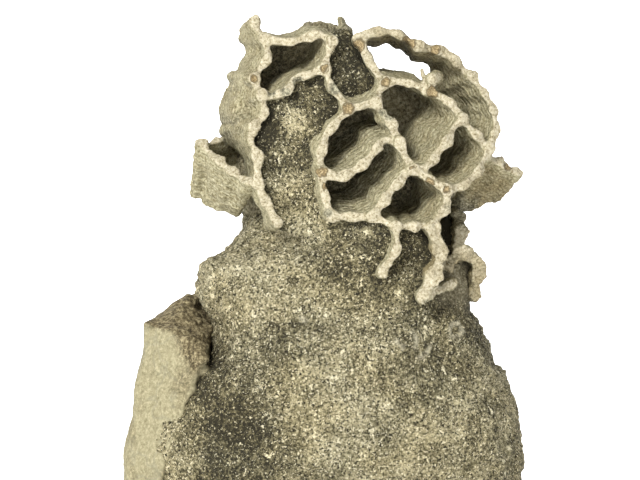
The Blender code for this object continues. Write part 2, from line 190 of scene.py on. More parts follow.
# How the walls are coloured, region by region: x, z, reach, grey stain and brown tint
TONES = [
    (-16, 53, 5, -0.3, 0.0), (-15, 61, 5, 0.15, 0.3), (-9, 73, 3, -0.1, 0.3),
    (-4, 68, 4, 0.15, 0.2), (-5, 55, 5, 0.05, 0.1), (3, 68, 4, 0.2, 0.1), (3, 57, 4, 0.25, 0.0),
    (8, 60, 4, 0.1, 0.0), (3, 49, 4, 0.25, 0.0), (8, 51, 4, 0.2, 0.1), (13, 48, 3, -0.1, 0.3),
    (13, 60, 4, -0.4, 0.3), (18, 60, 4, -0.4, 0.2), (20, 54, 4, -0.2, 0.3), (11, 72, 3, 0.2, 0.8),
    (16, 71, 3, 0.1, 0.6), (19, 70, 4, -0.3, 0.4), (24, 62, 5, -0.4, 0.15), (24.5, 50, 3, 0.1, 0.9),
    (27.5, 54, 1.5, -0.7, -0.6), (29.5, 52, 1, -0.7, -0.6), (9, 40, 4, 0.0, 0.0),
    (14.5, 39, 2, 0.1, 1.0), (17.5, 39, 1, -0.4, -0.3), (19, 38, 2, 0.5, 0.9), (23, 36, 2, 0.3, 0.8),
    (19.5, 45.5, 2, 0.8, 0.5), (20.5, 42, 1, -0.2, 0.2), (18, 35, 1.5, -0.4, 0.0),
    (14.5, 33.5, 1.5, -0.6, -0.5),
]
TONE_START = 1e-6             # stain and tint where no region counts, and their weight
REGION_CORE = 0.05            # the larger, the softer a region's middle

# How the skin of the walls is weathered, and where light is painted on it
CREAM_DEPTH = 1.0             # how far below the rim its cream colour reaches
CREAM_FADE = 2                # how sharply it ends there
CREAM_FACING = 0.2            # how far forwards a face has to look to be cream
CREAM_TURN = 3                # how sharply it ends where a face looks away
RIB_HEIGHT = 0.10             # growth lines round the tubes
RIB_PITCH = 1.3
RIB_WANDER = 5                # breadth of the noise that bends them
RIB_FREE_DEPTH = 2            # they grow to full height over this depth
SMOOTH_LEFT, SMOOTH_ABOVE = -10.5, 56       # this way from here, soft lumps take their place
SOFT_LUMP, SOFT_BREADTH = 0.35, 2.8
CRAG_RIGHT, CRAG_BELOW = 16, 47             # this way from here, the skin is rougher
CRAG_FACTOR = 2
STAIN_EVERYWHERE = 0.3
STAIN_PER_MM = 0.03           # more of it, deeper in the pockets
STAIN_BLOTCH, STAIN_BREADTH = 0.3, 4
STAIN_OFF_RIM = 0.3           # less of it on the rims
# Painted light: faces turned to the upper left, towards the lamp, and to the lower right, into
# shade, are painted lighter
PAINTED_LIGHT_ON_SIDES = 0.35        # and on faces turned to the upper left or the lower right
TINT_BLOTCH, TINT_BREADTH = 0.25, 3
TINT_OFF_RIM = 0.25


def clamp(value):
    """The value, held between 0 and 1."""
    return min(1.0, max(0.0, value))


def uneven(point, layers):
    """The layers of noise at a point, added up."""
    return sum(height * noise.noise(point / breadth) for height, breadth in layers)


def region_values(point, regions, start):
    """The values of the regions round a point, blended by how near each region is."""
    weight = start
    totals = [start] * (len(regions[0]) - 3)
    for x, z, reach, *values in regions:
        spread = ((point.x - x) ** 2 + (point.z - z) ** 2) / reach ** 2
        near = 1 / (REGION_CORE + spread) ** 2
        weight += near
        totals = [total + near * value for total, value in zip(totals, values)]
    return [total / weight for total in totals]


def mouth_at(point, depth, mouths):
    """How much a point lies in the mouth of a tube, 0 to 1, and how far it is hollowed."""
    inside = hollow = 0.0
    if depth < MOUTH_DEPTH:
        ragged = uneven(point, MOUTH_LAYERS)
        for x, z, radius in mouths:
            away = ((point.x - x) ** 2 + (point.z - z) ** 2) ** 0.5 / radius + ragged
            inside = max(inside, clamp((MOUTH_REACH - away) * MOUTH_FADE))
            hollow = max(hollow, MOUTH_HOLLOW * max(0.0, 1 - away * away))
    return inside, hollow


def curve_through(points, steps=8):
    """Points of a Catmull-Rom curve through the given points."""
    ends = [points[0] * 2 - points[1]] + points + [points[-1] * 2 - points[-2]]
    line = []
    for a, b, c, d in zip(ends, ends[1:], ends[2:], ends[3:]):
        for i in range(steps):
            t = i / steps
            line.append(0.5 * (2 * b + (c - a) * t + (2 * a - 5 * b + 4 * c - d) * t * t
                               + (3 * b - a - 3 * c + d) * t ** 3))
    return line + [points[-1]]


def evenly_spaced(line, count):
    """The same line as count + 1 points at equal distances along it."""
    lengths = [(b - a).length for a, b in zip(line, line[1:])]
    spacing = sum(lengths) / count
    result, walked, i = [line[0]], 0.0, 0
    for k in range(1, count):
        while walked + lengths[i] < k * spacing:
            walked += lengths[i]
            i += 1
        result.append(line[i].lerp(line[i + 1], (k * spacing - walked) / lengths[i]))
    return result + [line[-1]]


def wall_lines(name, station=WALL_STATION):
    """The rim line and the root line of a wall, and how many tubes the wall has."""
    start, via, end = WALLS[name]
    rim_a, root_a = (Vector(p) for p in JUNCTIONS[start])
    rim_b, root_b = (Vector(p) for p in JUNCTIONS[end])
    flat = [Vector((rim_a.x, 0, rim_a.z))] + [Vector((x, 0, z)) for x, z in via]
    flat.append(Vector((rim_b.x, 0, rim_b.z)))
    line = curve_through(flat)
    length = sum((b - a).length for a, b in zip(line, line[1:]))
    tubes = max(1, round(length / TUBE_PITCH))
    count = max(4, round(length / station))
    rim, root = [], []
    for i, point in enumerate(evenly_spaced(line, count)):
        t = i / count
        point.y = rim_a.y + (rim_b.y - rim_a.y) * t
        rim.append(point)
        root.append(point + (root_a - rim_a).lerp(root_b - rim_b, t))
    return rim, root, tubes


def add_wall(shape, name):
    """One wall: a flat grid doubled by an extrusion and bent into a chain of tubes."""
    rim, root, tubes = wall_lines(name)
    last = len(rim) - 1
    grid = bmesh.ops.create_grid(shape, x_segments=last, y_segments=DEPTH_STEPS, size=0.5)
    near = grid["verts"]
    faces = list({face for vert in near for face in vert.link_faces})
    extruded = bmesh.ops.extrude_face_region(shape, geom=faces)["geom"]
    far = [item for item in extruded if isinstance(item, bmesh.types.BMVert)]
    for side, verts in ((1, near), (-1, far)):
        for vert in verts:
            i = min(last, max(0, round((vert.co.x + 0.5) * last)))
            deep = (vert.co.y + 0.5) ** ROW_CROWDING
            front, back = rim[i], root[i]
            ahead, behind = rim[min(i + 1, last)], rim[max(i - 1, 0)]
            along = (back - front).normalized()
            across = (ahead - behind).cross(along).normalized()
            phase = 0.5 + 0.5 * cos(2 * pi * tubes * i / last)
            swelling = (TUBE_WIDTH - PINCH_WIDTH) * phase * (1 - ROOT_THINNING * deep)
            width = (PINCH_WIDTH + swelling) * THICKER.get(name, 1) + uneven(front, WIDTH_LAYERS)
            crest = front - along * (RIM_WAVE * phase + uneven(front, RIM_LAYERS))
            spot = crest.lerp(back, deep)
            sway = SWAY * min(1.0, SWAY_ONSET * deep) * noise.noise(spot / SWAY_BREADTH)
            vert.co = spot + across * (side * width / 2 + sway)


def add_tube(shape, front, back, width, domed=False):
    """A round tube from front to back, with flat or domed ends."""
    along = (back - front).normalized()
    turn = Vector((0, 0, 1)).rotation_difference(along)
    if domed:
        made = bmesh.ops.create_uvsphere(shape, u_segments=ROUND_SIDES, v_segments=ROUND_RINGS,
                                         radius=width / 2)
    else:
        made = bmesh.ops.create_cone(shape, cap_ends=True, segments=ROUND_SIDES,
                                     radius1=width / 2, radius2=width / 2, depth=BLANK_LENGTH)
    for vert in made["verts"]:
        end = back if vert.co.z > 0 else front
        vert.co = end + turn @ vert.co


def remeshed(shape, voxel, smoothing, kept=1.0):
    """One closed skin over all the bodies of a bmesh in mm; kept is the share of faces left."""
    bmesh.ops.recalc_face_normals(shape, faces=shape.faces)
    mesh = bpy.data.meshes.new("rough")
    shape.to_mesh(mesh)
    shape.free()
    rough = bpy.data.objects.new("rough", mesh)
    bpy.context.scene.collection.objects.link(rough)
    skin = rough.modifiers.new("skin", "REMESH")
    skin.mode = "VOXEL"
    skin.voxel_size = voxel
    soften = rough.modifiers.new("soften", "SMOOTH")
    soften.factor = 0.5
    soften.iterations = smoothing
    if kept < 1:
        rough.modifiers.new("thin_out", "DECIMATE").ratio = kept
    graph = bpy.context.evaluated_depsgraph_get()
    result = bpy.data.meshes.new_from_object(rough.evaluated_get(graph))
    bpy.data.objects.remove(rough, do_unlink=True)
    bpy.data.meshes.remove(mesh)
    return result


def skin_points(mesh):
    """The places and normals of a mesh's vertices, read in one go."""
    points, normals = (np.empty(len(mesh.vertices) * 3, dtype=np.float32) for _ in range(2))
    mesh.vertices.foreach_get("co", points)
    mesh.vertex_normals.foreach_get("vector", normals)
    return [Vector(p) for p in points.reshape(-1, 3)], [Vector(n) for n in normals.reshape(-1, 3)]


def place_points(mesh, points):
    """Moves a mesh's vertices to the given points."""
    mesh.vertices.foreach_set("co", np.array(points, dtype=np.float32).ravel())
    mesh.update()


def set_attribute(mesh, name, values):
    """Gives each vertex of a mesh its value, for a material to read."""
    layer = mesh.attributes.new(name, "FLOAT", "POINT")
    layer.data.foreach_set("value", np.asarray(values, dtype=np.float32))


def finished_piece(mesh, name, material, replaced):
    points = np.empty(len(mesh.vertices) * 3, dtype=np.float32)
    mesh.vertices.foreach_get("co", points)
    mesh.vertices.foreach_set("co", points * MM)
    mesh.name = name
    mesh.shade_smooth()
    mesh.materials.clear()
    mesh.materials.append(material)
    mesh.update()
    piece = bpy.data.objects.new(name, mesh)
    bpy.context.scene.collection.objects.link(piece)
    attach(piece, "root")
    if replaced:
        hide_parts(replaced)
    return piece


def grain_group():
    """Stone grain: blotches of noise about Size across, as a node group that all materials use."""
    group = bpy.data.node_groups.new("stone_grain", "ShaderNodeTree")
    group.interface.new_socket("Place", in_out="INPUT", socket_type="NodeSocketVector")
    for value in ("Size", "Detail", "Roughness"):
        group.interface.new_socket(value, in_out="INPUT", socket_type="NodeSocketFloat")
    group.interface.new_socket("Grain", in_out="OUTPUT", socket_type="NodeSocketFloat")
    given = group.nodes.new("NodeGroupInput").outputs
    result = group.nodes.new("NodeGroupOutput").inputs
    scale = group.nodes.new("ShaderNodeMath")
    scale.operation = "DIVIDE"
    scale.inputs[0].default_value = 1.0
    blotches = group.nodes.new("ShaderNodeTexNoise")
    for source, target in ((given["Size"], scale.inputs[1]),
                           (scale.outputs["Value"], blotches.inputs["Scale"]),
                           (given["Place"], blotches.inputs["Vector"]),
                           (given["Detail"], blotches.inputs["Detail"]),
                           (given["Roughness"], blotches.inputs["Roughness"]),
                           (blotches.outputs["Fac"], result["Grain"])):
        group.links.new(source, target)
    return group


STONE_GRAIN = grain_group()
COLOUR_MIX_INPUTS = (0, 6, 7)       # factor, first and second colour of a Mix node
COLOUR_MIX_RESULT = 2
STONE_SHEEN = 0.25


class Shader:
    """A material's nodes, added one at a time."""

    def __init__(self, name, roughness):
        self.material = bpy.data.materials.new(name)
        self.material.use_nodes = True
        self.tree = self.material.node_tree
        self.surface = self.tree.nodes["Principled BSDF"]
        self.surface.inputs["Roughness"].default_value = roughness
        self.surface.inputs["Specular IOR Level"].default_value = STONE_SHEEN
        self.place = self.node("ShaderNodeTexCoord").outputs["Object"]

    def node(self, kind, **settings):
        """A new node with its settings."""
        made = self.tree.nodes.new(kind)
        for key, value in settings.items():
            setattr(made, key, value)
        return made

    def join(self, source, target):
        """A link from an output to an input."""
        self.tree.links.new(source, target)

    def attribute(self, name):
        """A value that the mesh carries."""
        return self.node("ShaderNodeAttribute", attribute_name=name).outputs["Fac"]

    def grain(self, size_mm, detail, roughness):
        """Stone grain whose blotches are about size_mm across."""
        made = self.node("ShaderNodeGroup", node_tree=STONE_GRAIN)
        made.inputs["Size"].default_value = size_mm * MM
        made.inputs["Detail"].default_value = detail
        made.inputs["Roughness"].default_value = roughness
        self.join(self.place, made.inputs["Place"])
        return made.outputs["Grain"]

    def ramp(self, value, *stops):
        """Colours or greys along a value: where each stands, and the shade there."""
        made = self.node("ShaderNodeValToRGB")
        ramp = made.color_ramp
        while len(ramp.elements) < len(stops):
            ramp.elements.new(0.5)
        for element, (place, shade) in zip(ramp.elements, stops):
            element.position = place
            tone = (shade, shade, shade) if isinstance(shade, (int, float)) else shade
            element.color = (*tone, 1.0)
        self.join(value, made.inputs["Fac"])
        return made.outputs["Color"]

    def math(self, operation, a, b=0.0, c=0.0):
        """Arithmetic on up to three values, which may be numbers or outputs."""
        made = self.node("ShaderNodeMath", operation=operation)
        for socket, value in zip(made.inputs, (a, b, c)):
            if isinstance(value, (int, float)):
                socket.default_value = value
            else:
                self.join(value, socket)
        return made.outputs["Value"]

    def mix(self, factor, a, b, blend="MIX"):
        """Colour b over colour a, as far as the factor says."""
        made = self.node("ShaderNodeMix", data_type="RGBA", blend_type=blend)
        for index, value in zip(COLOUR_MIX_INPUTS, (factor, a, b)):
            socket = made.inputs[index]
            if isinstance(value, (int, float)):
                socket.default_value = value
            elif isinstance(value, tuple):
                socket.default_value = (*value, 1.0)
            else:
                self.join(value, socket)
        return made.outputs[COLOUR_MIX_RESULT]

    def finish(self, colour, height, strength, distance_mm):
        """Colour and relief into the surface."""
        bump = self.node("ShaderNodeBump")
        bump.inputs["Strength"].default_value = strength
        bump.inputs["Distance"].default_value = distance_mm * MM
        self.join(height, bump.inputs["Height"])
        self.join(bump.outputs["Normal"], self.surface.inputs["Normal"])
        self.join(colour, self.surface.inputs["Base Color"])
        return self.material


GROWTH_LINES = 9.0            # how close together they are, in radians per mm of depth
GROWTH_WANDER = 14.0          # how far they stray
GROWTH_DARKNESS = 0.42        # how much they darken a wall below its rim
BLOTCH_CONTRAST = 1.6         # of the blotches of brown tint, and half of it of the grey stain


def coral_material():
    """Calcite: cream at the rim, buff with growth lines below, stained deep in the pockets, and
    painted lighter on faces turned to the upper left and to the lower right.
    """
    shader = Shader("weathered_coral", roughness=0.85)
    depth = shader.attribute("depth")
    stain_and_painted_light = shader.attribute("stain_and_painted_light")
    fine = shader.grain(0.4, detail=5.0, roughness=0.75)
    broad = shader.grain(2.5, detail=4.0, roughness=0.6)
    wander = shader.math("MULTIPLY", broad, GROWTH_WANDER)
    lines = shader.math("SINE", shader.math("MULTIPLY_ADD", depth, GROWTH_LINES, wander))
    faint = shader.math("MULTIPLY_ADD", lines, 0.5, 0.5)
    cream = shader.ramp(fine, (0.36, (0.14, 0.11, 0.055)), (0.43, (0.29, 0.25, 0.155)),
                        (0.50, (0.39, 0.345, 0.235)), (0.66, (0.55, 0.50, 0.375)))
    buff = shader.ramp(fine, (0.34, (0.10, 0.085, 0.04)), (0.44, (0.24, 0.215, 0.12)),
                       (0.52, (0.34, 0.312, 0.195)), (0.68, (0.50, 0.47, 0.33)))
    colour = shader.mix(shader.attribute("rim"), buff, cream)
    brown = shader.ramp(fine, (0.34, (0.045, 0.035, 0.015)), (0.5, (0.19, 0.15, 0.07)),
                        (0.66, (0.36, 0.30, 0.16)))
    patchy = shader.math("MULTIPLY_ADD", broad, BLOTCH_CONTRAST, -BLOTCH_CONTRAST / 2)
    tint = shader.math("ADD", shader.attribute("tint"), patchy)
    colour = shader.mix(shader.ramp(tint, (0.1, 0.0), (0.95, 0.85)), colour, brown)
    grey = shader.ramp(fine, (0.36, (0.045, 0.042, 0.026)), (0.5, (0.165, 0.152, 0.10)),
                       (0.62, (0.42, 0.39, 0.27)))
    # The grey stain, with painted light that lightens faces turned to the upper left and to the
    # lower right
    grey_stain_and_painted_light = shader.ramp(shader.math("ADD", shader.math("MULTIPLY", patchy, 0.5), stain_and_painted_light),
                        (0.25, 0.0), (0.75, 0.9))
    colour = shader.mix(grey_stain_and_painted_light, colour, grey)
    below_rim = shader.math("SUBTRACT", GROWTH_DARKNESS, shader.attribute("rim"))
    growth = shader.math("MULTIPLY", faint, below_rim)
    colour = shader.mix(growth, colour, (0.50, 0.44, 0.34), "MULTIPLY")
    rust = shader.ramp(shader.grain(0.28, detail=4.0, roughness=0.8), (0.38, (0.05, 0.032, 0.012)),
                       (0.5, (0.22, 0.155, 0.065)), (0.64, (0.46, 0.37, 0.21)))
    inside = shader.attribute("rust")
    rust = shader.mix(shader.ramp(inside, (0.5, 0.0), (0.9, 1.0)), (0.10, 0.075, 0.035), rust)
    colour = shader.mix(shader.ramp(inside, (0.1, 0.0), (0.4, 0.9)), colour, rust)
    colour = shader.mix(shader.attribute("grey_fill"), colour, grey)
    height = shader.math("ADD", shader.math("MULTIPLY", faint, 0.5), fine)
    return shader.finish(colour, height, strength=0.85, distance_mm=0.25)


coral = bmesh.new()
for name, (front, back) in JUNCTIONS.items():
    meeting = sum(name in (start, end) for start, via, end in WALLS.values())
    front, back = Vector(front), Vector(back)
    front -= (back - front).normalized() * JUNCTION_RISE
    add_tube(coral, front, back, JUNCTION_WIDTH if meeting > 1 else FREE_END_WIDTH)
for front, back, width in DOMES:
    add_tube(coral, Vector(front), Vector(back), width, domed=True)
for wall in WALLS:
    add_wall(coral, wall)
coral_mesh = remeshed(coral, CORAL_VOXEL, CORAL_SMOOTHING, CORAL_FACES_KEPT)

# Points all over the walls, each with its depth below the rim and the way that runs
SAMPLE_STEP = 0.5
samples = []
for wall in WALLS:
    rim, root, tubes = wall_lines(wall)
    for front, back in zip(rim, root):
        length = (back - front).length
        steps = round(length / SAMPLE_STEP)
        along = (back - front).normalized()
        samples += [(front.lerp(back, k / steps), length * k / steps, along)
                    for k in range(steps + 1)]
nearest = KDTree(len(samples))
for index, (point, depth, along) in enumerate(samples):
    nearest.insert(point, index)
nearest.balance()

SAMPLES_BLENDED = 3
SAMPLE_CORE = 0.05            # keeps the weight of a sample that is met exactly finite


def depth_at(point):
    """How deep below the rim a point of the skin lies, and which way its wall runs back."""
    found = nearest.find_n(point, SAMPLES_BLENDED)
    weights = [1 / (distance + SAMPLE_CORE) for _, _, distance in found]
    depths = [samples[index][1] for _, index, _ in found]
    blended = sum(weight * depth for weight, depth in zip(weights, depths)) / sum(weights)
    return blended, samples[found[0][1]][2]


names = ("depth", "stain_and_painted_light", "tint", "rim", "rust", "grey_fill")
rows, moved = [], []
for point, normal in zip(*skin_points(coral_mesh)):
    depth, along = depth_at(point)
    rim = clamp((CREAM_DEPTH - depth) * CREAM_FADE)
    rim *= clamp((-normal.dot(along) - CREAM_FACING) * CREAM_TURN)
    rust, rust_hollow = mouth_at(point, depth, RUSTY_MOUTHS)
    grey_fill, grey_hollow = mouth_at(point, depth, GREY_MOUTHS)
    lump = uneven(point, WALL_LAYERS)
    turns = (depth + noise.noise(point / RIB_WANDER)) / RIB_PITCH
    ribs = RIB_HEIGHT * sin(2 * pi * turns) * min(1.0, depth / RIB_FREE_DEPTH)
    if point.x < SMOOTH_LEFT and point.z > SMOOTH_ABOVE:
        ribs = SOFT_LUMP * noise.noise(point / SOFT_BREADTH)
    if point.x > CRAG_RIGHT and point.z < CRAG_BELOW:
        lump *= CRAG_FACTOR
    moved.append(point + normal * (lump + ribs - max(rust_hollow, grey_hollow)))
    stain_and_painted_light, tint = region_values(point, TONES, TONE_START)
    stain_and_painted_light += STAIN_EVERYWHERE + STAIN_PER_MM * depth - STAIN_OFF_RIM * rim
    stain_and_painted_light += STAIN_BLOTCH * noise.noise(point / STAIN_BREADTH)
    # Painted light: faces turned to the upper left and to the lower right are painted lighter
    stain_and_painted_light -= PAINTED_LIGHT_ON_SIDES * abs(normal.z - normal.x)
    tint += TINT_BLOTCH * noise.noise(point / TINT_BREADTH) - TINT_OFF_RIM * rim
    rows.append((depth, stain_and_painted_light, tint, rim, rust, grey_fill))
place_points(coral_mesh, moved)
for name, values in zip(names, zip(*rows)):
    set_attribute(coral_mesh, name, values)
finished_piece(coral_mesh, "weathered_walls", coral_material(), "coral_walls")

# ---------------------------------------------------------------------------------------------
# Limestone lump. The rock that buried the coral: a rounded upright mass with a flat base, its
# skin pitted and speckled, and tongues of the same rock still filling some of the openings.
# The lump is a ball whose rings are spread over its sections, and each tongue a face drawn back.
ROCK_VOXEL = 0.42
ROCK_SMOOTHING = 2
ROCK_ROUNDNESS = 2.5          # 2 gives an ellipse, and more is boxier
LUMP_RELIEF = 0.9             # its large hollows and swellings
LUMP_BREADTH = 9.0
BALL_SIDES = 96
BALL_RINGS = 120
TOP_SHARE = 0.03              # share of the rings that close the top
SIDE_SHARE = 0.92             # share that makes the sides
BASE_SHARE = 0.05             # share that closes the base
BASE_SKIN = 0.6               # skin lower than this is held down flat
ROCK_LAYERS = [(0.55, 2.6), (0.4, 1.1), (0.3, 0.5)]
ROCK_SINK = 0.15              # how far the skin is drawn in, so that its lumps end near the size

# Sections of the rock from the base upwards: z, left x, right x, front y, back y
ROCK_SECTIONS = [
    (-3, -28, 28, -16, 16), (3, -28.5, 29, -16.5, 16.5), (8.5, -28, 30, -17, 17),
    (13, -27, 29.5, -17.5, 16.5), (18, -24.5, 28.5, -17.5, 16), (22, -21, 27, -17.5, 15.5),
    (23.5, -18.5, 25, -17.5, 15), (27, -17, 24.5, -17, 14.5), (30, -17.5, 23.5, -17, 14.5),
    (31.5, -18.5, 22, -16.5, 14), (34, -19.5, 22.5, -16.5, 14), (38.5, -19, 22.5, -15.5, 13.5),
    (40, -16, 21.5, -15, 13), (41.5, -14.5, 20, -13.5, 13), (43.5, -13, 20, -11, 13),
    (46.5, -13, 20, -7, 12.5), (50, -13.5, 20, -5.5, 12.5), (54, -13.5, 20.5, -5, 12),
    (58, -14, 20, -5, 11.5), (61, -14.5, 18.5, -5, 11), (64, -13.5, 15.5, -5, 10.5),
    (66, -12.5, 11.5, -5, 9.5), (67.5, -12, 7.5, -5, 9.5), (71, -10, 5, -4.5, 8),
    (73.5, -4, 4, -3.5, 6.5), (75, -2.5, 0.5, -1.5, 4),
]

# Openings still full of rock: how far behind the rim the rock lies, then the walls round it in
# turn, "-" where one is followed backwards, and points on the rock's own edge without a wall
FILLS = {
    "tall": (1.5, ["crown_floor", "tall_left", "tall_bend", "cup_side", "tall_left_low",
                   (-7, -14.5, 43), (-1, -15, 41.5), "-slot_left", "-tall_right", "-cap_left"]),
    "cap": (2.2, ["-crown_right", (2, -12.5, 73), (4, -11.5, 73), "-cap_right", "-cap_big",
                  "-cap_floor", "-cap_left"]),
    "lap": (1.0, ["-slot_floor", "lap_top", "lap_right", (6, -15, 34), (-1, -15, 35),
                  (-2, -15, 41)]),
    "foot": (2.0, ["cave_floor", "foot_right", (12, -15, 33), "-lap_right"]),
    "niche": (2.6, ["lobe", (19, -10, 32), (16, -13, 34), (16.5, -13, 37)]),
    "shoulder": (0.8, ["stub", (18.5, -6, 46), (17.5, -8, 44), (18, -10, 40.5)]),
}
FILL_STATION = 1.0            # between two points of a filling's outline
FILL_BACK = -2                # y at which the fillings end, inside the lump
EDGE_RUN = Vector((-1.5, 9, 1))  # how a filling's own edge runs back


def add_lump(shape):
    """The lump: a sphere's rings spread over the rock's sections."""
    heights, lefts, rights, fronts, backs = (np.array(row) for row in zip(*ROCK_SECTIONS))
    ball = bmesh.ops.create_uvsphere(shape, u_segments=BALL_SIDES, v_segments=BALL_RINGS, radius=1)
    for vert in ball["verts"]:
        turn = atan2(vert.co.y, vert.co.x)
        down = acos(max(-1.0, min(1.0, vert.co.z))) / pi
        spread = min(1.0, down / TOP_SHARE, (1 - down) / BASE_SHARE)
        z = heights[-1] * (1 - clamp((down - TOP_SHARE) / SIDE_SHARE))
        left, right = np.interp(z, heights, lefts), np.interp(z, heights, rights)
        front, back = np.interp(z, heights, fronts), np.interp(z, heights, backs)
        reach = [abs(v) ** (2 / ROCK_ROUNDNESS) * (1 if v > 0 else -1)
                 for v in (cos(turn), sin(turn))]
        point = Vector(((left + right) / 2 + (right - left) / 2 * reach[0] * spread,
                        (front + back) / 2 + (back - front) / 2 * reach[1] * spread, z))
        outward = Vector((reach[0], reach[1], 0)).normalized()
        vert.co = point + outward * LUMP_RELIEF * noise.noise(point / LUMP_BREADTH)


def add_fill(shape, drop, entries):
    """Rock in one opening: its outline as a face, drawn back to the walls' roots."""
    front, back = [], []
    for entry in entries:
        if isinstance(entry, tuple):
            rim, root = [Vector(entry)], [Vector(entry) + EDGE_RUN]
        else:
            rim, root, tubes = wall_lines(entry.lstrip("-"), FILL_STATION)
            if entry.startswith("-"):
                rim, root = rim[::-1], root[::-1]
            rim, root = rim[:-1], root[:-1]
        for a, b in zip(rim, root):
            along = (b - a).normalized()
            front.append(a + along * drop)
            back.append(a.lerp(b, (FILL_BACK - a.y) / (b.y - a.y)))
    face = shape.faces.new([shape.verts.new(point) for point in front])
    extruded = bmesh.ops.extrude_face_region(shape, geom=[face])["geom"]
    behind = {tuple(a): b for a, b in zip(front, back)}
    for item in extruded:
        if isinstance(item, bmesh.types.BMVert):
            item.co = behind[tuple(item.co)]


# How the rock is coloured, region by region: x, z, reach and paleness. The darkest, at x 17.5 and z
# 43.5, is painted shade in the gap beside the flange, and the one at x 23 and z 12 is painted light
# on the right side, which the lamp leaves in shade.
PATCHES = [
    (4, 11, 6, 0.45), (1, 25, 5, 0.4), (-14, 17, 5, -1.1), (4, 39, 5, -0.4), (23, 12, 6, 0.1),
    (-18, 22, 3, -1.1), (-14, 9, 4, -0.9), (-20, 9, 3, -0.2), (-4, 14, 4, 0.3),
    (-4.5, 59.5, 1.6, 1.2), (-4, 50, 3, -0.1), (-5, 55, 3, -0.7), (-3, 64, 2, -0.9),
    (-8.5, 58, 2, -1.4), (4, 67, 5, -0.9),
    (-6, 34, 6, 0.3), (17, 27, 6, -0.2), (-10, 8, 4, -0.7), (-15, 37, 4, 0.2),
    (17.5, 43.5, 2.5, -2.5), (0, 74, 3, -0.6), (-10, 24, 5, -0.3), (12, 18, 5, 0.2),
    (14, 40, 2, -0.8), (2, 70, 3, -0.5), (20, 34, 3, -0.8), (20, 20, 4, 0.0), (0, 3, 5, -0.2),
]
PALE_START = 0.05             # paleness where no region counts, and its weight
PATCH_STRENGTH = 1.45
PALE_LAYERS = [(0.8, 8), (0.9, 3), (0.6, 1.3)]
FRONT_FADE = 5                # the patches fade out over this length in front of the middle
WALL_SHADE = 1.1              # rock is darker beside a wall
WALL_SHADE_REACH = 2.2

# Bottoms of the open pockets, tinted olive: which points of the rock lie there
POCKETS_ABOVE = 46
POCKETS_FROM_Y = -8.5
POCKET_FADE = 4               # the tint fades out over this length behind the middle
POCKET_FACING = 0.2           # faces that look back more than this aren't in a pocket
STRONG_RIGHT_OF = 8           # the tint has its full strength right of here,
WEAK_BAND, WEAK_HALF = 49, 4  # but not near the first height, as far as the second up and down
WEAK_SHARE = 0.5

# The niche in the lower right, a dark brown hollow
NICHE = Vector((20, 36))
NICHE_CORE = 1.6              # above 1, its middle is evenly dark
NICHE_REACH = 3.5
NICHE_DARKNESS = 1.2
NICHE_TINT = 0.5

# Edges of shells that stand out on the front face: their points, x and z
SHELLS = [
    [(13, 28.5), (13.5, 27), (13.5, 26)], [(14, 24.5), (15, 25), (15.5, 26)],
    [(10.5, 27), (11.5, 26)],
    [(18.5, 28.5), (19, 29.5), (20, 29.5), (20.5, 28.5), (20, 27.5), (19, 27.5), (18.5, 28.5)],
    [(-3.5, 30.5), (-3, 30)], [(14.5, 33), (15, 33.5)],
]
SHELL_FRONT = -8              # they lie in front of this y
SHELL_HEIGHT = 0.35
SHELL_HALF_WIDTH = 0.45
SHELL_BLUR = 0.3
SHELL_EVEN, SHELL_SPECKLE, SPECKLE_BREADTH = 0.7, 0.6, 0.8


def pocket_at(point, normal):
    """How much a point of the rock lies at the bottom of an open pocket, 0 to 1."""
    if point.z <= POCKETS_ABOVE or normal.y >= POCKET_FACING:
        return 0.0
    deep = clamp(point.y - POCKETS_FROM_Y)
    if point.x <= STRONG_RIGHT_OF or abs(point.z - WEAK_BAND) <= WEAK_HALF:
        deep *= WEAK_SHARE
    return deep * clamp(1 - point.y / POCKET_FADE)


def skin_point(point, normal, push):
    """A point of the rock's skin pushed outwards, or held down flat where it is the base."""
    if point.z > BASE_SKIN:
        return point + normal * push
    return Vector((point.x, point.y, 0))


def shell_at(point):
    """How much of a shell's edge lies at a point of the front face, 0 to 1."""
    if point.y > SHELL_FRONT:
        return 0.0
    spot = Vector((point.x, point.z))
    gap = SHELL_HALF_WIDTH
    for line in SHELLS:
        for a, b in zip(line, line[1:]):
            start, end = Vector(a), Vector(b)
            share = (spot - start).dot(end - start) / (end - start).length_squared
            gap = min(gap, (spot - start.lerp(end, clamp(share))).length)
    speckled = SHELL_EVEN + SHELL_SPECKLE * noise.noise(point / SPECKLE_BREADTH)
    return clamp((SHELL_HALF_WIDTH - gap) / SHELL_BLUR) * speckled


# How much paler the specks are, and how many more crumbs and flakes there are, where it is pale
PALE_SPECKS, PALE_CRUMBS, PALE_FLAKES = 0.07, 0.025, 0.02
# How high the specks, the crumbs and the pits stand against the finest grain
SPECK_RELIEF, CRUMB_RELIEF, PIT_RELIEF = 0.8, 0.4, 0.6


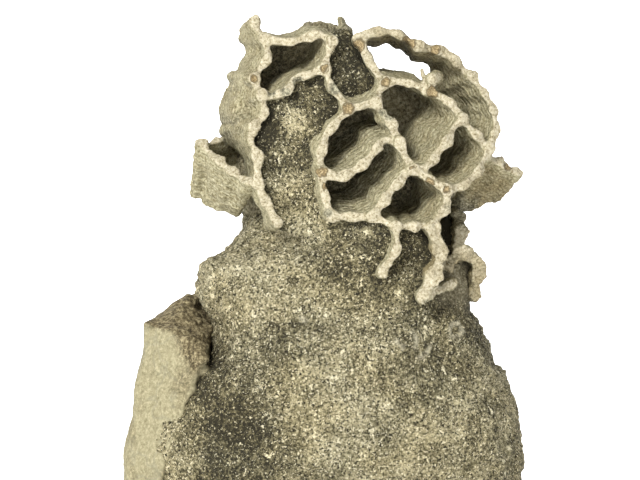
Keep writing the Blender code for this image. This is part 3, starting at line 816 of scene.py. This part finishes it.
def rock_material():
    """Limestone: thickly speckled with cream and nearly black grains, with crumbs, and with pits
    painted nearly black as painted shade.
    """
    shader = Shader("speckled_limestone", roughness=0.9)
    pale = shader.attribute("pale")
    pocket = shader.attribute("pocket")
    speck = shader.grain(0.5, detail=6.0, roughness=0.75)
    fine = shader.grain(0.2, detail=3.0, roughness=0.7)
    level = shader.math("MULTIPLY_ADD", pale, PALE_SPECKS, speck)
    colour = shader.ramp(level, (0.38, (0.025, 0.022, 0.012)), (0.46, (0.105, 0.093, 0.052)),
                         (0.54, (0.235, 0.21, 0.128)), (0.64, (0.42, 0.38, 0.25)))
    small = shader.grain(0.36, detail=3.0, roughness=0.6)
    crumbs = shader.ramp(shader.math("MULTIPLY_ADD", pale, PALE_CRUMBS, small),
                         (0.585, 0.0), (0.605, 1.0))
    large = shader.grain(0.95, detail=2.0, roughness=0.5)
    flakes = shader.ramp(shader.math("MULTIPLY_ADD", pale, PALE_FLAKES, large),
                         (0.655, 0.0), (0.67, 1.0))
    crumbs = shader.math("MAXIMUM", crumbs, flakes)
    colour = shader.mix(crumbs, colour, shader.ramp(fine, (0.4, (0.36, 0.32, 0.20)),
                                                    (0.55, (0.72, 0.67, 0.50))))
    pits = shader.ramp(shader.grain(0.32, detail=3.0, roughness=0.6), (0.40, 1.0), (0.42, 0.0))
    # Painted shade: the pits are painted nearly black
    colour = shader.mix(pits, colour, (0.018, 0.016, 0.01))
    cool = shader.ramp(shader.grain(7.0, detail=3.0, roughness=0.5), (0.42, (1.0, 0.965, 0.86)),
                       (0.6, (0.97, 0.96, 0.91)))
    colour = shader.mix(1.0, colour, cool, "MULTIPLY")
    pearl = shader.ramp(speck, (0.42, (0.16, 0.145, 0.09)), (0.56, (0.50, 0.46, 0.33)))
    colour = shader.mix(shader.attribute("shell"), colour, pearl)
    olive = shader.ramp(speck, (0.36, (0.09, 0.075, 0.04)), (0.5, (0.30, 0.26, 0.155)),
                        (0.62, (0.52, 0.47, 0.32)))
    colour = shader.mix(pocket, colour, olive)
    height = shader.math("MULTIPLY_ADD", speck, SPECK_RELIEF, fine)
    height = shader.math("MULTIPLY_ADD", crumbs, CRUMB_RELIEF, height)
    height = shader.math("MULTIPLY_ADD", pits, -PIT_RELIEF, height)
    return shader.finish(colour, height, strength=0.9, distance_mm=0.3)


rock = bmesh.new()
add_lump(rock)
for drop, entries in FILLS.values():
    add_fill(rock, drop, entries)
rock_mesh = remeshed(rock, ROCK_VOXEL, ROCK_SMOOTHING)
pales, pockets, shells, moved = [], [], [], []
for point, normal in zip(*skin_points(rock_mesh)):
    shell = shell_at(point)
    push = uneven(point, ROCK_LAYERS) + SHELL_HEIGHT * shell - ROCK_SINK
    moved.append(skin_point(point, normal, push))
    in_front = clamp(-point.y / FRONT_FADE)
    pale = PATCH_STRENGTH * in_front * region_values(point, PATCHES, PALE_START)[0]
    # Painted shade: the rock is painted darker beside a wall
    pale -= WALL_SHADE * max(0.0, 1 - nearest.find(point)[2] / WALL_SHADE_REACH)
    pale += uneven(point, PALE_LAYERS)
    in_niche = (Vector((point.x, point.z)) - NICHE).length / NICHE_REACH
    in_niche = in_front * clamp(NICHE_CORE - in_niche)
    pales.append(pale - NICHE_DARKNESS * in_niche)
    pockets.append(max(pocket_at(point, normal), NICHE_TINT * in_niche))
    shells.append(shell)
place_points(rock_mesh, moved)
set_attribute(rock_mesh, "pale", pales)
set_attribute(rock_mesh, "pocket", pockets)
set_attribute(rock_mesh, "shell", shells)
finished_piece(rock_mesh, "weathered_limestone", rock_material(), "limestone_matrix")

# ---------------------------------------------------------------------------------------------
# Broken block. Part of the same rock at the lower left, split off clean not long ago, so its
# faces are flat, pale yellow and hardly weathered. It is the hull of its corners, roughened.
BLOCK_CORNERS = [
    (-20.5, 1, 34), (-26, 0, 30.5), (-27, -6, 29.5), (-23, -10, 28.5), (-18, -13.5, 25.5),
    (-28, -5, 22), (-30, -4, 12), (-30, 2, 9.5), (-22, -12, 15.5), (-26, -9.5, 8.5),
    (-31, -6, 0), (-27, -10, 0), (-26, 11, 0), (-28.5, 9, 12), (-25, 7, 28),
    (-16, 8, 32), (-14, 10, 0),
]
BLOCK_SMOOTHING = 1
BLOCK_SINK = 0.1              # how far the skin is drawn in
BLOCK_RELIEF = 0.7            # factor on the lumps and the grit
BLOCK_LUMP, LUMP_SPAN = 0.9, 4
BLOCK_GRIT, CRUST_GRIT, GRIT_SPAN = 0.25, 0.9, 1.2
# The old crust by the lump: where it begins at the left and below, and over what length
CRUST_LEFT, CRUST_SIDE_FADE = -23, 3
CRUST_LOW, CRUST_LOW_FADE = 14, 6
# How dark brown the skin is: on faces that look up, as painted shade; on the crust and in blotches
# on it, as the crust's own colour
PAINTED_SHADE_ON_TOP, BROWN_CRUST, BROWN_BLOTCH, BROWN_SPAN = 1.6, 0.8, 0.8, 3


def block_material():
    """Fresh limestone: pale yellow with grey veins and darker crumbs, and painted shade in dark
    brown on faces that look up.
    """
    shader = Shader("fresh_limestone", roughness=0.85)
    broad = shader.grain(4.0, detail=4.0, roughness=0.6)
    fine = shader.grain(0.5, detail=6.0, roughness=0.7)
    pale = shader.ramp(fine, (0.32, (0.14, 0.12, 0.06)), (0.42, (0.24, 0.215, 0.125)),
                       (0.56, (0.30, 0.272, 0.165)), (0.68, (0.38, 0.35, 0.23)))
    brown = shader.ramp(fine, (0.36, (0.025, 0.019, 0.009)), (0.5, (0.115, 0.09, 0.045)),
                        (0.64, (0.33, 0.28, 0.16)))
    crust_and_top_shade = shader.attribute("shade")
    bent = shader.grain(6.0, detail=3.0, roughness=0.5)
    vein = shader.math("ABSOLUTE", shader.math("SUBTRACT", bent, 0.5))
    colour = shader.mix(shader.ramp(vein, (0.0, 0.5), (0.03, 0.0)), pale, (0.20, 0.19, 0.13))
    colour = shader.mix(shader.ramp(broad, (0.52, 0.0), (0.7, 0.5)), colour, brown)
    # Dark brown on faces that look up is painted shade; on the crust it is the crust's own colour
    colour = shader.mix(crust_and_top_shade, colour, brown)
    return shader.finish(colour, fine, strength=0.6, distance_mm=0.25)


block = bmesh.new()
for corner in BLOCK_CORNERS:
    block.verts.new(corner)
hull = bmesh.ops.convex_hull(block, input=block.verts)
bmesh.ops.delete(block, geom=hull["geom_interior"], context="VERTS")
block_mesh = remeshed(block, ROCK_VOXEL, BLOCK_SMOOTHING)
crust_and_painted_shade, moved = [], []
for point, normal in zip(*skin_points(block_mesh)):
    crust = clamp((point.x - CRUST_LEFT) / CRUST_SIDE_FADE)
    crust *= clamp((point.z - CRUST_LOW) / CRUST_LOW_FADE)
    rough = BLOCK_LUMP * noise.noise(point / LUMP_SPAN)
    rough += (BLOCK_GRIT + CRUST_GRIT * crust) * noise.noise(point / GRIT_SPAN)
    moved.append(skin_point(point, normal, BLOCK_RELIEF * rough - BLOCK_SINK))
    blotch = BROWN_BLOTCH * noise.noise(point / BROWN_SPAN) * crust
    # Painted shade on faces that look up, and the crust's own brown
    crust_and_painted_shade.append(clamp(PAINTED_SHADE_ON_TOP * normal.z + BROWN_CRUST * crust + blotch))
place_points(block_mesh, moved)
set_attribute(block_mesh, "shade", crust_and_painted_shade)
finished_piece(block_mesh, "broken_block", block_material(), None)

# ---------------------------------------------------------------------------------------------
# Stage. One sheet of white paper lies under the piece and one hangs behind it, in even light
# from all round and a soft lamp at the upper left. Sizes and places here are in metres.
SHEET_SIZE = 6.0
BACKDROP_PLACE = (0, 2.9, 0)
PAPER = {"Base Color": (0.95, 0.95, 0.95, 1), "Roughness": 1.0, "Specular IOR Level": 0.0,
         "Emission Color": (1, 1, 1, 1), "Emission Strength": 0.9}
ROOM_LIGHT = 0.58
LAMP_SIZE = 0.3
LAMP_WATTS = 9.0
LAMP_PLACE = Vector((-0.3, -0.65, 0.45))
LAMP_TARGET = Vector((0, 0, 0.04))
CAMERA_PLACE = (-0.00075, -0.808, 0.042)
LENS_MM = 300.0
SENSOR_MM = 36.0

paper = bpy.data.materials.new("white_paper")
paper.use_nodes = True
for setting, value in PAPER.items():
    paper.node_tree.nodes["Principled BSDF"].inputs[setting].default_value = value


def paper_sheet(name, place, turn):
    """A sheet of the white paper."""
    bpy.ops.mesh.primitive_plane_add(size=SHEET_SIZE, location=place, rotation=turn)
    sheet = bpy.context.object
    sheet.name = name
    sheet.data.materials.append(paper)
    return sheet


floor = paper_sheet("white_floor", (0, 0, 0), (0, 0, 0))
backdrop = paper_sheet("white_backdrop", BACKDROP_PLACE, (pi / 2, 0, 0))

world = bpy.data.worlds.new("white_room")
world.use_nodes = True
room = world.node_tree.nodes["Background"].inputs
room["Color"].default_value = (1, 1, 1, 1)
room["Strength"].default_value = ROOM_LIGHT
bpy.context.scene.world = world

lamp = bpy.data.lights.new("soft_key", "AREA")
lamp.shape = "DISK"
lamp.size = LAMP_SIZE
lamp.energy = LAMP_WATTS
lamp_object = bpy.data.objects.new("soft_key", lamp)
lamp_object.location = LAMP_PLACE
lamp_object.rotation_euler = (LAMP_TARGET - LAMP_PLACE).to_track_quat("-Z", "Y").to_euler()
bpy.context.scene.collection.objects.link(lamp_object)

bpy.context.scene.view_settings.view_transform = "Standard"

lens = bpy.data.cameras.new("long_lens")
lens.sensor_width = SENSOR_MM
lens.lens = LENS_MM
camera = bpy.data.objects.new("long_lens", lens)
camera.location = CAMERA_PLACE
camera.rotation_euler = (pi / 2, 0, 0)
bpy.context.scene.collection.objects.link(camera)
bpy.context.scene.camera = camera
